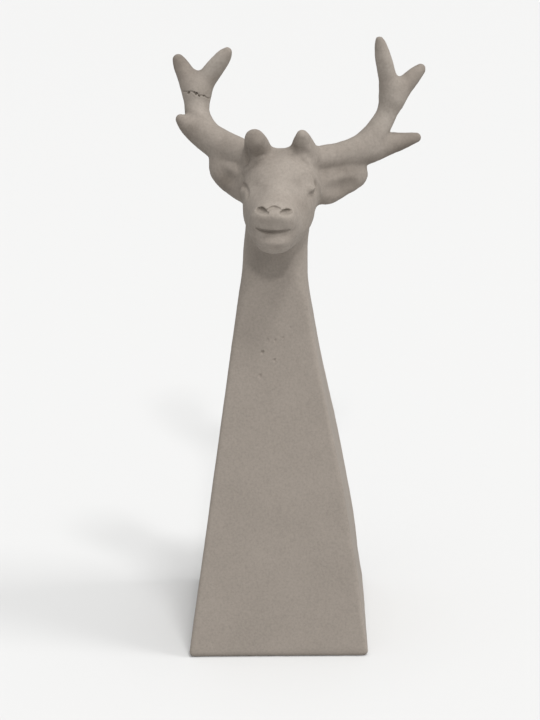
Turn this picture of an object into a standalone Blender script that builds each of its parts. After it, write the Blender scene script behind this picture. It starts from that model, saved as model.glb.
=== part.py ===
"""Cast reindeer figurine: a tapered square column that turns into a neck, with the
head, ears and antlers moulded on it in one pour. Front faces -Y, height runs up +Z,
and the origin is the centre of the flat underside.

The shape is worked out in millimetres. Bars, balls and a lofted column rough the
figure out, a voxel remesh joins them into one skin, and that skin is then drawn
onto the blended surface that shape() describes. The plain lower column is lofted
in level rings, so its edges run true, and joined to the neck above.
"""
import math
import bpy
import bmesh
import numpy as np
from mathutils import Matrix, Vector

MM = 0.001
VOXEL = 1.4              # mesh size of the first skin
FACES = 7000             # triangles kept on the neck, head and antlers
JOIN_Z = 172.0           # the lofted column ends here
CORNER_STEPS = 5         # facets round each edge of the column

# ---- pyramid body ----
BASE_W = 90.0            # square base
TAPER = 0.15936          # half width lost per mm of height
NECK_HALF = 15.4         # half width where the body turns into the neck
NECK_SOFT = 1.4
NECK_SHIFT = 1.6         # the neck leans this far to +X
NAPE_SHIFT = 1.2         # and this much further under the head
BODY_TOP = 224.0
FOOT_H, FOOT_IN = 3.0, 1.8
EDGE_R = 1.3
BELLY = 1.6              # the +X face swells this much below half height
# ---- head ----
HEAD_X = 4.9
HEAD_TURN = math.radians(6.0)
CHEEK_SHIFT = 0.4        # the back of the head sits this much to +X of the face


def smin(a, b, k):
    h = np.maximum(k - np.abs(a - b), 0.0) / k
    return np.minimum(a, b) - h * h * k * 0.25


def smax(a, b, k):
    return -smin(-a, -b, k)


def ramp(z, z0, z1):
    t = np.clip((z - z0) / (z1 - z0), 0.0, 1.0)
    return t * t * (3.0 - 2.0 * t)


def ellipsoid(p, c, r, yaw=0.0, pitch=0.0, roll=0.0):
    q = p - np.asarray(c)
    if yaw or pitch or roll:
        q = q @ rot(yaw, pitch, roll)
    r = np.asarray(r)
    k0 = np.linalg.norm(q / r, axis=-1)
    k1 = np.linalg.norm(q / (r * r), axis=-1)
    return k0 * (k0 - 1.0) / np.maximum(k1, 1e-9)


def rot(yaw, pitch, roll):
    # columns are the shape's own axes in its parent frame, degrees
    a, b, c = (math.radians(v) for v in (yaw, pitch, roll))
    rz = np.array([[math.cos(a), -math.sin(a), 0], [math.sin(a), math.cos(a), 0], [0, 0, 1]])
    rx = np.array([[1, 0, 0], [0, math.cos(b), -math.sin(b)], [0, math.sin(b), math.cos(b)]])
    ry = np.array([[math.cos(c), 0, math.sin(c)], [0, 1, 0], [-math.sin(c), 0, math.cos(c)]])
    return rz @ rx @ ry


def rbox(p, c, h, r, yaw=0.0, pitch=0.0, roll=0.0):
    q = p - np.asarray(c)
    if yaw or pitch or roll:
        q = q @ rot(yaw, pitch, roll)
    q = np.abs(q) - (np.asarray(h) - r)
    return np.linalg.norm(np.maximum(q, 0.0), axis=-1) + np.minimum(q.max(axis=-1), 0.0) - r


def cone(p, a, b, ra, rb):
    """Bar between two balls: the nearest ball between them is ahead of the square foot point where the bar widens."""
    a = np.asarray(a, float); b = np.asarray(b, float)
    ab = b - a
    long2 = float(ab @ ab)
    q = p - a
    t = (q @ ab) / long2
    grow = max(-0.9, min(0.9, (rb - ra) / math.sqrt(long2)))
    away = np.sqrt(np.maximum((q * q).sum(-1) - t * t * long2, 0.0))
    t = np.clip(t + away * grow / math.sqrt((1.0 - grow * grow) * long2), 0.0, 1.0)
    return np.linalg.norm(q - t[:, None] * ab, axis=-1) - (ra + t * (rb - ra))


def spline(stations, steps):
    """Smooth curve through (x, y, z, r) stations."""
    s = np.asarray(stations, float)
    ext = np.vstack([2 * s[0] - s[1], s, 2 * s[-1] - s[-2]])
    out = []
    for i in range(1, len(ext) - 2):
        p0, p1, p2, p3 = ext[i - 1:i + 3]
        for j in range(steps):
            t = j / steps
            out.append(0.5 * ((2 * p1) + (p2 - p0) * t + (2 * p0 - 5 * p1 + 4 * p2 - p3) * t * t
                              + (3 * p1 - p0 - 3 * p2 + p3) * t ** 3))
    out.append(s[-1])
    return np.array(out)


def tube(p, pts):
    """Distance to a round bar of changing radius; far from its box only a bound is worked out."""
    reach = pts[:, 3].max() + 6.0
    lo, hi = pts[:, :3].min(0) - reach, pts[:, :3].max(0) + reach
    out = np.linalg.norm(np.maximum(np.maximum(lo - p, p - hi), 0.0), axis=-1)
    d = out + 6.0
    near = out <= 0.0
    if near.any():
        q, e = p[near], None
        for a, b in zip(pts[:-1], pts[1:]):
            f = cone(q, a[:3], b[:3], a[3], b[3])
            e = f if e is None else np.minimum(e, f)
        d[near] = e
    return d


def law(v, table):
    """Smooth curve through a short table of (place, value) pairs."""
    t = np.asarray(table, float)
    fine = spline(np.column_stack([t, t * 0.0]), 16)
    return np.interp(v, fine[:, 0], fine[:, 1])


def head_frame(p):
    q = p - np.array([HEAD_X, 0.0, 0.0])
    c, s = math.cos(HEAD_TURN), math.sin(HEAD_TURN)
    return np.stack([q[:, 0] * c - q[:, 1] * s, q[:, 0] * s + q[:, 1] * c, q[:, 2]], -1)


# antlers: stations (x, y, z, radius)
R_BEAM = [(13.9, 1.0, 239.6, 6.5), (24.5, 5.0, 241.8, 6.0), (35.7, 10.0, 242.8, 6.2), (46.0, 16.0, 246.0, 6.5),
          (54.3, 20.0, 256.4, 5.1), (57.8, 21.2, 264.7, 5.1), (58.7, 21.2, 271.4, 5.0)]
R_INNER = [(58.6, 21.2, 270.5, 5.0), (56.1, 19.2, 280.0, 4.4), (54.1, 16.2, 288.5, 3.8), (53.0, 14.9, 293.4, 3.0), (52.4, 14.0, 296.2, 1.9)]
R_OUTER = [(59.8, 21.4, 267.0, 4.9), (65.8, 24.3, 273.8, 4.3), (69.7, 26.0, 277.5, 3.6), (73.0, 27.8, 280.4, 2.4)]
R_SIDE = [(38.1, 12.0, 241.6, 5.8), (46.0, 16.0, 243.4, 6.8), (52.0, 18.5, 244.3, 6.2), (57.9, 20.5, 245.6, 5.2), (63.9, 23.0, 246.2, 4.0),
          (71.0, 26.3, 247.2, 2.4)]
L_BEAM = [(-5.8, 3.0, 241.3, 6.6), (-16.0, 9.0, 245.1, 6.8), (-25.0, 15.0, 247.3, 7.7), (-32.5, 21.0, 251.8, 7.3),
          (-36.1, 25.5, 260.2, 6.1), (-36.3, 28.3, 267.1, 6.1), (-36.4, 30.0, 272.7, 6.0)]
L_INNER = [(-34.8, 29.6, 272.7, 5.4), (-30.0, 29.3, 278.8, 4.8), (-25.4, 27.3, 284.7, 4.3), (-22.6, 26.0, 288.1, 3.6), (-20.7, 25.2, 290.6, 2.3)]
L_OUTER = [(-37.3, 29.8, 271.3, 5.4), (-41.0, 32.2, 277.8, 4.8), (-43.8, 34.0, 283.0, 3.9), (-45.3, 34.8, 286.0, 2.8)]
L_SIDE = [(-32.5, 21.2, 251.0, 6.5), (-37.3, 21.2, 253.8, 5.8), (-41.1, 20.7, 256.6, 4.3), (-44.1, 20.2, 259.1, 2.5)]
TINE_FILLET = (4.2, 4.2, 2.2)    # the two fork tines are webbed together, the side tine meets the beam more sharply
ANTLERS = [(spline(R_BEAM, 4), [spline(t, 3) for t in (R_INNER, R_OUTER, R_SIDE)]),
           (spline(L_BEAM, 4), [spline(t, 3) for t in (L_INNER, L_OUTER, L_SIDE)])]


def antlers(p):
    d = None
    for beam, tines in ANTLERS:
        e = tube(p, beam)
        for t, k in zip(tines, TINE_FILLET):
            e = smin(e, tube(p, t), k)
        d = e if d is None else np.minimum(d, e)
    return d


def edge_radius(z):
    """Crisp edges on the column, rounding off quickly into the neck."""
    return EDGE_R + 0.9 * ramp(z, 120.0, 168.0) + 10.6 * ramp(z, 172.0, 205.0)


def body(p):
    x, y, z = p[:, 0], p[:, 1], p[:, 2]
    run = BASE_W / 2 - TAPER * z
    a = 0.5 * (run + NECK_HALF + np.sqrt((run - NECK_HALF) ** 2 + NECK_SOFT ** 2))
    foot = np.clip(1.0 - z / FOOT_H, 0.0, None)
    a = a - FOOT_IN * np.where(z < 0, 1.0 - 2.0 * z / FOOT_H, foot * foot)
    belly = BELLY * ramp(z, 6.0, 52.0) * (1.0 - ramp(z, 82.0, 146.0))
    a = a + belly * 0.5
    cx = NECK_SHIFT * ramp(z, 168.0, 206.0) + NAPE_SHIFT * ramp(z, 199.0, 214.0) + belly * 0.5
    r = edge_radius(z)
    qx = np.abs(x - cx) - (a - r)
    qy = np.abs(y) - (a - r)
    d = np.hypot(np.maximum(qx, 0), np.maximum(qy, 0)) + np.minimum(np.maximum(qx, qy), 0) - r
    d = d * 0.9875
    return smax(d, z - BODY_TOP, 10.0)


def section(z, along=0):
    """Points of the column at one height: corner arcs of equal steps, with more along the flats if asked."""
    run = BASE_W / 2 - TAPER * z
    a = 0.5 * (run + NECK_HALF + math.sqrt((run - NECK_HALF) ** 2 + NECK_SOFT ** 2))
    r = float(edge_radius(z))
    arcs = []
    for corner, (sx, sy) in enumerate(((1, 1), (-1, 1), (-1, -1), (1, -1))):
        t = np.pi / 2 * (corner + np.arange(CORNER_STEPS + 1) / CORNER_STEPS)
        start = np.broadcast_to([sx * (a - r - 1.0), sy * (a - r - 1.0), z], (len(t), 3))
        ray = np.stack([np.cos(t), np.sin(t), t * 0.0], -1)
        lo, hi = np.zeros(len(t)), np.full(len(t), 30.0)
        for _ in range(40):
            mid = (lo + hi) / 2
            inside = body(start + ray * mid[:, None]) < 0.0
            lo, hi = np.where(inside, mid, lo), np.where(inside, hi, mid)
        arcs.append(start + ray * lo[:, None])
    ring = []
    for arc, after in zip(arcs, arcs[1:] + arcs[:1]):
        ring += [tuple(c) for c in arc]
        ring += [tuple(arc[-1] + (after[0] - arc[-1]) * (k + 1) / (along + 1)) for k in range(along)]
    return ring


# ---- face: side profile and plan, s = distance forward of the neck axis ----
TOP_LINE = [(-10, 244.2), (-2, 246.1), (4, 246.0), (9, 244.2), (14, 240.9), (20, 236.4), (26, 232.4), (31, 230.4), (36, 229.7), (40, 229.0), (46, 227.6)]
UNDER_LINE = [(-10, 215.0), (0, 213.0), (10, 208.9), (20, 204.7), (28, 203.6), (34, 204.2), (40, 205.7), (46, 207.0)]
HALF_PLAN = [(-10, 17.1), (-2, 17.3), (4, 17.3), (9, 17.2), (14, 16.8), (19, 15.4), (25, 13.2), (31, 12.0), (37, 11.5), (46, 11.2)]
FRONT_LINE = [(200, 28.0), (203, 33.0), (205.4, 37.4), (207.2, 39.2), (208.7, 39.7), (209.9, 40.6), (211.2, 41.1), (213.0, 40.6), (214.8, 39.8),
              (216.4, 39.9), (218.0, 40.9), (219.6, 41.5), (221.4, 42.2), (223.4, 42.8), (225.2, 42.6), (227.4, 41.4), (229.4, 38.8), (236, 30.0)]


def face_base(q):
    s, z = -q[:, 1], q[:, 2]
    x = np.abs(q[:, 0] - CHEEK_SHIFT * (1.0 - ramp(s, 6.0, 20.0)))
    zt, zb, w = law(s, TOP_LINE), law(s, UNDER_LINE), law(s, HALF_PLAN)
    zc, h = (zt + zb) / 2, (zt - zb) / 2
    # rounder over the bridge of the nose and at the chin, squarer down the cheeks
    n = np.where(z > zc, 2.4 - 0.45 * ramp(s, 8.0, 19.0) * (1.0 - ramp(s, 24.0, 33.0)), 2.2 + 0.6 * ramp(s, 6.0, 14.0) - 0.8 * ramp(s, 17.0, 32.0))
    m = ((x / w) ** n + (np.abs(z - zc) / h) ** n) ** (1 / n) - 1.0
    d = m * np.minimum(w, h) * 0.92
    f = (s - (law(z, FRONT_LINE) - x * x / 38.0)) * 0.85
    d = smax(d, f, 4.5)
    return smax(d, -(s + 8.0), 3.0)


def skull(q):
    d = ellipsoid(q, (CHEEK_SHIFT, 0.8, 230.0), (17.7, 19.0, 16.2))
    return smin(d, face_base(q), 5.0)


def on_face(x, z):
    """How far forward the face surface lies at a place seen from the front."""
    x, z = np.broadcast_arrays(np.asarray(x, float), np.asarray(z, float))
    lo, hi = np.zeros(x.shape), np.full(x.shape, 60.0)
    for _ in range(26):
        mid = (lo + hi) / 2
        inside = skull(np.stack([x, -mid, z], -1)) < 0
        lo, hi = np.where(inside, mid, lo), np.where(inside, hi, mid)
    return (lo + hi) / 2


def normals(field, p, e=0.2):
    g = sum(k * field(p + e * k)[:, None] for k in np.array([[1, -1, -1], [-1, -1, 1], [-1, 1, -1], [1, 1, 1.0]]))
    return g / np.maximum(np.linalg.norm(g, axis=1), 1e-9)[:, None]


def stroke(pts, depth=0.0):
    """Run of (x, z, r) points laid on the face, its centre depth below the surface."""
    t = np.asarray(pts, float)
    fine = spline(np.column_stack([t[:, 0], t[:, 0] * 0, t[:, 1], t[:, 2]]), 4)
    fine[:, 1] = -on_face(fine[:, 0], fine[:, 2])
    fine[:, :3] -= depth * normals(skull, fine[:, :3])
    return fine


# cut lines of the face: mouth, nostrils, the arc over the nose pad, the fold round each eye
MOUTH = stroke([(-7.0, 217.8, 0.60), (-5.6, 217.3, 0.85), (-3.4, 216.8, 0.90), (-0.8, 216.6, 0.80), (3.0, 216.6, 0.66), (6.2, 216.8, 0.54), (7.8, 217.1, 0.36)])
NOSTRIL_L = stroke([(-6.6, 226.8, 1.15), (-4.9, 226.8, 1.5), (-3.4, 226.5, 1.15), (-1.9, 226.0, 0.65)])
NOSTRIL_R = stroke([(8.8, 225.7, 0.85), (7.5, 225.9, 1.25), (6.1, 226.0, 1.25), (4.8, 225.8, 0.75)])
PAD_TOP = stroke([(-1.4, 227.2, 0.6), (-0.2, 227.9, 0.8), (1.4, 228.0, 0.9), (3.5, 227.6, 0.6)])
EYE_FOLD_L = stroke([(-17.8, 232.1, 0.5), (-15.8, 231.9, 0.8), (-14.5, 230.3, 0.9), (-14.0, 228.1, 0.5)])
EYE_FOLD_R = stroke([(17.4, 233.2, 0.5), (17.7, 230.9, 0.9), (17.0, 229.1, 0.8), (15.0, 228.7, 0.5)])
# each cut with how many times deeper than its half width it goes, and how soft its edges are
CUTS = [(MOUTH, 1.6, 0.8), (NOSTRIL_L, 2.2, 0.7), (NOSTRIL_R, 2.8, 0.7), (PAD_TOP, 1.9, 0.6), (EYE_FOLD_L, 0.8, 1.4), (EYE_FOLD_R, 0.8, 1.4)]
# lumps of the closed eyes: x, z, radii, how far forward
EYES = [(x, z, r, on_face([x], [z])[0]) for x, z, r in ((-16.9, 229.2, (1.6, 2.0, 1.8)), (15.7, 231.2, (1.9, 2.0, 1.7)))]
# soft swells (+) and hollows (-) of the face: x, z, spread, height
SWELLS = [(-9.2, 232.4, 3.1, -1.05), (9.8, 232.8, 3.1, -1.05), (0.4, 234.0, 2.2, 0.30), (-11.0, 238.2, 3.0, 0.35), (11.0, 238.8, 3.0, 0.35),
          (-3.9, 222.0, 2.2, 0.30), (7.0, 221.6, 2.2, 0.25), (1.2, 211.2, 3.0, 0.45),
          (-7.6, 211.0, 2.4, -0.75), (9.2, 211.4, 2.4, -0.65)]


def head(p):
    q = head_frame(p)
    d = skull(q)
    front = (q[:, 1] < -4.0) & (q[:, 1] > -52.0) & (q[:, 2] > 200.0) & (q[:, 2] < 246.0)
    if front.any():
        g, e = q[front], d[front]
        for x, z, wide, high in SWELLS:
            e = e - high * np.exp(-((g[:, 0] - x) ** 2 + (g[:, 2] - z) ** 2) / (2.0 * wide * wide))
        for x, z, r, s in EYES:
            e = smin(e, ellipsoid(g, (x, 0.6 * r[1] - s, z), r), 2.4)
        for run, steep, k in CUTS:
            squeeze = np.array([1.0, 1.0 / steep, 1.0, 1.0])
            e = smax(e, -tube(g * squeeze[:3], run * squeeze), k)
        d = d.copy(); d[front] = e
    return d


# stubs of the brow tines: blunt cones standing on the crown
BROW = [spline([(-6.0, 0.0, 243.7, 7.5), (-6.3, -4.8, 249.7, 6.0), (-7.1, -9.4, 253.9, 4.9)], 3),
        spline([(15.8, -1.0, 244.6, 7.2), (15.5, -4.0, 249.5, 5.4), (15.3, -6.5, 253.0, 3.9), (15.1, -8.0, 255.2, 2.8)], 3)]


# low rims along the edge of the face, and the creases where stub and antler rise from the crown
RIMS = [spline([(15.6, -8.5, 244.9, 0.7), (17.6, -8.2, 242.1, 1.1), (19.3, -9.5, 238.6, 1.2), (21.0, -9.5, 235.1, 1.2), (22.6, -7.3, 230.6, 1.1),
                (23.6, -4.0, 226.0, 0.7)], 2),
        spline([(-3.5, -8.6, 245.3, 0.6), (-6.7, -8.4, 244.0, 1.0), (-10.0, -6.5, 240.7, 1.1), (-12.7, -4.5, 237.3, 0.7)], 2)]
CREASES = [spline([(10.6, -7.6, 248.9, 0.5), (12.2, -9.9, 248.5, 0.7), (14.6, -11.0, 248.1, 0.8), (17.6, -10.4, 247.2, 0.6)], 2),
           spline([(-11.3, -9.3, 249.6, 0.6), (-11.4, -7.2, 245.9, 1.2), (-11.2, -6.2, 242.6, 1.0)], 3)]


def leaf(p, run, thin, yaw):
    """A bar of changing radius, flattened to thin times its width, its flat side turned by yaw."""
    m = rot(yaw, 0, 0)
    k = np.array([1.0, 1.0 / thin, 1.0])
    q, t = (p @ m) * k, (run[:, :3] @ m) * k
    d = None
    for a, b, ra, rb in zip(t[:-1], t[1:], run[:-1, 3], run[1:, 3]):
        f = cone(q, a, b, ra, rb)
        d = f if d is None else np.minimum(d, f)
    return d * thin


EARS = [spline([(26.9, 3.6, 228.2, 8.1), (35.6, 8.0, 231.0, 7.0), (40.3, 11.0, 232.0, 5.9)], 2),
        spline([(-14.7, 2.0, 230.8, 7.8), (-20.4, 6.0, 232.9, 6.8), (-24.9, 9.0, 235.5, 5.3), (-26.3, 10.0, 238.7, 4.0)], 2)]
EAR_YAW = (24.0, -38.0)
CUPS = [spline([(28.5, -4.2, 228.2, 3.0), (34.2, -1.2, 228.0, 4.0), (40.0, 3.0, 228.8, 2.8)], 3),
        spline([(-19.4, -2.6, 233.2, 2.8), (-22.6, 0.0, 234.4, 3.6), (-25.6, 2.6, 237.2, 2.8)], 3)]


def ears(p):
    out = []
    for run, yaw, cup in zip(EARS, EAR_YAW, CUPS):
        out.append(smax(leaf(p, run, 0.62, yaw), -tube(p, cup), 3.0))
    return out


def shape(p):
    p = np.asarray(p, float)
    d = body(p)
    up = p[:, 2] > 165.0
    if up.any():
        u = p[up]
        er, el = ears(u)
        a = antlers(u)
        e = np.minimum(er, el)
        h = smin(d[up], head(u), 6.5)
        h = smin(h, e, 3.6)
        h = smin(h, smin(a, e, 3.4), 1.8)
        h = smin(h, np.minimum(tube(u, BROW[0]), tube(u, BROW[1])), 3.8)
        for run in CREASES:
            h = smax(h, -tube(u, run), 2.4)
        for run in RIMS:
            h = smin(h, tube(u, run), 1.4)
        d = d.copy()
        d[up] = h
    return d


# ---- roughing out ----
def lofted_column(bm, heights, along=0):
    """Level rings from the flat underside up, to be joined to the open lower rim of the neck."""
    rows = [[bm.verts.new(co) for co in section(z, along)] for z in heights]
    n = len(rows[0])
    for lower, upper in zip(rows[:-1], rows[1:]):
        for i in range(n):
            bm.faces.new((lower[i], lower[(i + 1) % n], upper[(i + 1) % n], upper[i]))
    bm.faces.new(list(reversed(rows[0])))
    bmesh.ops.bridge_loops(bm, edges=[e for e in bm.edges if e.is_boundary])


def clear_scene():
    for ob in list(bpy.data.objects):
        bpy.data.objects.remove(ob, do_unlink=True)


def head_point(x, y, z):
    c, s = math.cos(HEAD_TURN), math.sin(HEAD_TURN)
    return Vector((HEAD_X + x * c + y * s, -x * s + y * c, z))


def ring_loft(bm, rings):
    """Skin a list of equal rings and close both ends."""
    rows = [[bm.verts.new(co) for co in ring] for ring in rings]
    n = len(rows[0])
    for lower, upper in zip(rows[:-1], rows[1:]):
        for i in range(n):
            bm.faces.new((lower[i], lower[(i + 1) % n], upper[(i + 1) % n], upper[i]))
    bm.faces.new(list(reversed(rows[0])))
    bm.faces.new(rows[-1])


def column(bm, low, high, steps=40, sides=32):
    rings = []
    for j in range(steps + 1):
        z = low + (high - low) * j / steps
        a = max(BASE_W / 2 - TAPER * z, NECK_HALF) - 0.6
        shift = NECK_SHIFT * float(ramp(np.array(z), 168.0, 206.0))
        ring = []
        for i in range(sides):
            t = 2 * math.pi * i / sides
            c, s = math.cos(t), math.sin(t)
            k = (abs(c) ** 8 + abs(s) ** 8) ** (-1 / 8)
            ring.append((shift + a * k * c, a * k * s, z))
        rings.append(ring)
    ring_loft(bm, rings)


def bar(bm, stations, fat=1.0, sides=12):
    """Round bar through (x, y, z, r) stations, with rounded ends."""
    pts = [Vector(s[:3]) for s in stations]
    rad = [float(s[3]) * fat for s in stations]
    rings = []
    for i, (p, r) in enumerate(zip(pts, rad)):
        t = (pts[min(i + 1, len(pts) - 1)] - pts[max(i - 1, 0)]).normalized()
        m = t.to_track_quat('Z', 'Y').to_matrix()
        caps = [(0.0, 1.0)]
        if i == 0:
            caps = [(-0.9, 0.45), (-0.5, 0.86), (0.0, 1.0)]
        elif i == len(pts) - 1:
            caps = [(0.0, 1.0), (0.5, 0.86), (0.9, 0.45)]
        for along, wide in caps:
            rings.append([p + m @ Vector((r * wide * math.cos(2 * math.pi * k / sides),
                                          r * wide * math.sin(2 * math.pi * k / sides), r * along))
                          for k in range(sides)])
    ring_loft(bm, rings)


def ball(bm, centre, radii):
    made = bmesh.ops.create_uvsphere(bm, u_segments=24, v_segments=16, radius=1.0)
    turn = Matrix.Rotation(-HEAD_TURN, 4, 'Z')
    m = Matrix.Translation(head_point(*centre)) @ turn @ Matrix.Diagonal((*radii, 1.0))
    bmesh.ops.transform(bm, matrix=m, verts=made["verts"])


def rough_figure():
    bm = bmesh.new()
    column(bm, -8.0, 216.0)
    ball(bm, (0, 0.8, 229.5), (18.6, 18.6, 17.2))
    ball(bm, (0, -14.0, 224.5), (16.0, 18.0, 15.5))
    ball(bm, (0, -29.0, 218.0), (10.6, 11.5, 10.2))
    for beam, tines in ANTLERS:
        bar(bm, beam)
        for t in tines:
            bar(bm, t)
    for run in BROW:
        bar(bm, run)
    for run in EARS:
        bar(bm, run, fat=0.8)
    bmesh.ops.recalc_face_normals(bm, faces=bm.faces)
    return bm


def evaluated(bm, name, **settings):
    """Run one modifier over a bmesh and hand back the result as a mesh."""
    kind = settings.pop("kind")
    mesh = bpy.data.meshes.new(name)
    bm.to_mesh(mesh)
    bm.free()
    ob = bpy.data.objects.new(name, mesh)
    bpy.context.scene.collection.objects.link(ob)
    mod = ob.modifiers.new(name, kind)
    for key, value in settings.items():
        setattr(mod, key, value)
    out = bpy.data.meshes.new_from_object(ob.evaluated_get(bpy.context.evaluated_depsgraph_get()))
    bpy.data.objects.remove(ob, do_unlink=True)
    return out


def draw_onto(mesh, rounds=9):
    """Slide the skin onto the blended surface, evening out its points on the way."""
    n = len(mesh.vertices)
    v = np.empty(n * 3)
    mesh.vertices.foreach_get("co", v)
    v = v.reshape(-1, 3)
    e = np.empty(len(mesh.edges) * 2, dtype=np.int64)
    mesh.edges.foreach_get("vertices", e)
    e = e.reshape(-1, 2)
    count = np.bincount(e.ravel(), minlength=n).astype(float)
    for i in range(rounds):
        d, nn = shape(v), normals(shape, v)
        v = v - np.clip(d, -1.2, 1.2)[:, None] * nn
        if i < rounds - 3:
            total = np.stack([np.bincount(e[:, 0], v[e[:, 1], k], n) + np.bincount(e[:, 1], v[e[:, 0], k], n)
                              for k in range(3)], -1)
            move = total / count[:, None] - v
            move -= (move * nn).sum(1)[:, None] * nn
            v = v + 0.5 * move
    mesh.vertices.foreach_set("co", v.ravel())
    mesh.update()


def build():
    skin = evaluated(rough_figure(), "skin", kind='REMESH', mode='VOXEL', voxel_size=VOXEL)
    draw_onto(skin)
    bm = bmesh.new()
    bm.from_mesh(skin)
    bmesh.ops.bisect_plane(bm, geom=bm.verts[:] + bm.edges[:] + bm.faces[:], dist=1e-4,
                           plane_co=(0, 0, JOIN_Z - 1.0), plane_no=(0, 0, -1), clear_outer=True)
    bmesh.ops.triangulate(bm, faces=bm.faces)
    ratio = FACES / len(bm.faces)
    light = evaluated(bm, "light", kind='DECIMATE', ratio=ratio)
    bm = bmesh.new()
    bm.from_mesh(light)
    bmesh.ops.bisect_plane(bm, geom=bm.verts[:] + bm.edges[:] + bm.faces[:], dist=1e-4,
                           plane_co=(0, 0, JOIN_Z), plane_no=(0, 0, -1), clear_outer=True)
    lofted_column(bm, [0.0, 0.5, 1.1, 1.8, 3.0] + [14.0 * i for i in range(1, 9)] + [120.0 + 6.0 * i for i in range(9)])
    bmesh.ops.dissolve_degenerate(bm, dist=0.02, edges=bm.edges)
    bmesh.ops.triangulate(bm, faces=bm.faces)
    bmesh.ops.recalc_face_normals(bm, faces=bm.faces)
    bmesh.ops.scale(bm, vec=(MM, MM, MM), verts=bm.verts)
    mesh = bpy.data.meshes.new("reindeer_figurine")
    bm.to_mesh(mesh)
    bm.free()
    mesh.shade_smooth()
    mesh.set_sharp_from_angle(angle=math.radians(40))
    ob = bpy.data.objects.new("reindeer_figurine", mesh)
    bpy.context.scene.collection.objects.link(ob)

    mat = bpy.data.materials.new("cast_cement")
    mat.use_nodes = True
    skin_shader = mat.node_tree.nodes["Principled BSDF"]
    skin_shader.inputs["Base Color"].default_value = (0.40, 0.37, 0.33, 1.0)
    skin_shader.inputs["Roughness"].default_value = 0.92
    skin_shader.inputs["Metallic"].default_value = 0.0
    mesh.materials.append(mat)
    for m in (skin, light):
        bpy.data.meshes.remove(m)


clear_scene()
build()
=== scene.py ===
"""Looks of the cast reindeer figurine: a fine skin with the moulded face, pinholes and the
crack line on one antler, in sandy unglazed cement, on a pale floor in soft studio light.
Shape functions work in millimetres; the finished skin is in metres.
"""
import math
import bpy
import bmesh
import numpy as np
from mathutils import Matrix, Vector


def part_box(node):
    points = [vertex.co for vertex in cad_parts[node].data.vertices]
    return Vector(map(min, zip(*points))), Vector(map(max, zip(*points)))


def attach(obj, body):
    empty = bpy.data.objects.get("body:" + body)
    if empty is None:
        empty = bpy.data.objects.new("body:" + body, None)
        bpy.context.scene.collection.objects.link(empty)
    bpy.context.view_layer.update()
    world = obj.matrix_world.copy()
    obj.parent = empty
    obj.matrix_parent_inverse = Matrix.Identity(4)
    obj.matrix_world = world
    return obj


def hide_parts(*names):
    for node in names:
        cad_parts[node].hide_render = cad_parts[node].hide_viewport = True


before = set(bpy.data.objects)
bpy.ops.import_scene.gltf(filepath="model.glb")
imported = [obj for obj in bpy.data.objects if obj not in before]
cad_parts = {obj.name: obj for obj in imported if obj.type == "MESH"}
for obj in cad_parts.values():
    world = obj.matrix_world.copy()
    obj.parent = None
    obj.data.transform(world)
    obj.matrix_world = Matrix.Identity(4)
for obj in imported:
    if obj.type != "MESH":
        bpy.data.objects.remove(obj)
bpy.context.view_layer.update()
NODE = "reindeer_figurine"

MM = 0.001
VOXEL = 1.4              # first skin; the head and face are split finer afterwards
JOIN_Z = 172.0           # the lofted column ends here
CORNER_STEPS = 5         # facets round each edge of the column

# ---- pyramid body ----
BASE_W = 90.0            # square base
TAPER = 0.15936          # half width lost per mm of height
NECK_HALF = 15.4         # half width where the body turns into the neck
NECK_SOFT = 1.4
NECK_SHIFT = 1.6         # the neck leans this far to +X
NAPE_SHIFT = 1.2         # and this much further under the head
BODY_TOP = 224.0
FOOT_H, FOOT_IN = 3.0, 1.8
EDGE_R = 1.3
BELLY = 1.6              # the +X face swells this much below half height
# ---- head ----
HEAD_X = 4.9
HEAD_TURN = math.radians(6.0)
CHEEK_SHIFT = 0.4        # the back of the head sits this much to +X of the face


def smin(a, b, k):
    h = np.maximum(k - np.abs(a - b), 0.0) / k
    return np.minimum(a, b) - h * h * k * 0.25


def smax(a, b, k):
    return -smin(-a, -b, k)


def ramp(z, z0, z1):
    t = np.clip((z - z0) / (z1 - z0), 0.0, 1.0)
    return t * t * (3.0 - 2.0 * t)


def ellipsoid(p, c, r, yaw=0.0, pitch=0.0, roll=0.0):
    q = p - np.asarray(c)
    if yaw or pitch or roll:
        q = q @ rot(yaw, pitch, roll)
    r = np.asarray(r)
    k0 = np.linalg.norm(q / r, axis=-1)
    k1 = np.linalg.norm(q / (r * r), axis=-1)
    return k0 * (k0 - 1.0) / np.maximum(k1, 1e-9)


def rot(yaw, pitch, roll):
    # columns are the shape's own axes in its parent frame, degrees
    a, b, c = (math.radians(v) for v in (yaw, pitch, roll))
    rz = np.array([[math.cos(a), -math.sin(a), 0], [math.sin(a), math.cos(a), 0], [0, 0, 1]])
    rx = np.array([[1, 0, 0], [0, math.cos(b), -math.sin(b)], [0, math.sin(b), math.cos(b)]])
    ry = np.array([[math.cos(c), 0, math.sin(c)], [0, 1, 0], [-math.sin(c), 0, math.cos(c)]])
    return rz @ rx @ ry


def rbox(p, c, h, r, yaw=0.0, pitch=0.0, roll=0.0):
    q = p - np.asarray(c)
    if yaw or pitch or roll:
        q = q @ rot(yaw, pitch, roll)
    q = np.abs(q) - (np.asarray(h) - r)
    return np.linalg.norm(np.maximum(q, 0.0), axis=-1) + np.minimum(q.max(axis=-1), 0.0) - r


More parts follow.
